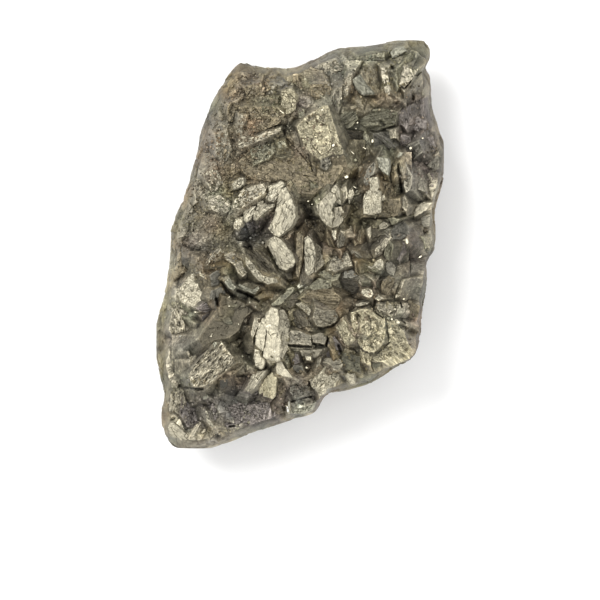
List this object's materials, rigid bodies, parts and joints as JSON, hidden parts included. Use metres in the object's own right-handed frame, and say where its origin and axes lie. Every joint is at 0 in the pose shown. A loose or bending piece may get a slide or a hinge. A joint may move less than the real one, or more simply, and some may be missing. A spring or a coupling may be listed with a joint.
{
  "type": "pyrite specimen",
  "caption": "Hand-sized lump of massive pyrite with blocky, slab-like crystals standing out of its upper face, lying on its flat broken back.",
  "frame": {"origin": "middle of the lump's box in X and Y, on its flat resting face", "axes": "+X to the right and +Y up across the crystal face as the picture shows it, +Z out of the crystal face, which looks up as the lump lies"},
  "size_m": [0.0578, 0.082, 0.028],
  "materials": {
    "pyrite": "massive pyrite, dull brass and pewter with olive-brown tarnish, paler on fresh crystal faces, finely sparkling"
  },
  "bodies": {
    "root": {"pyrite_mass": "pyrite"}
  },
  "joints": []
}
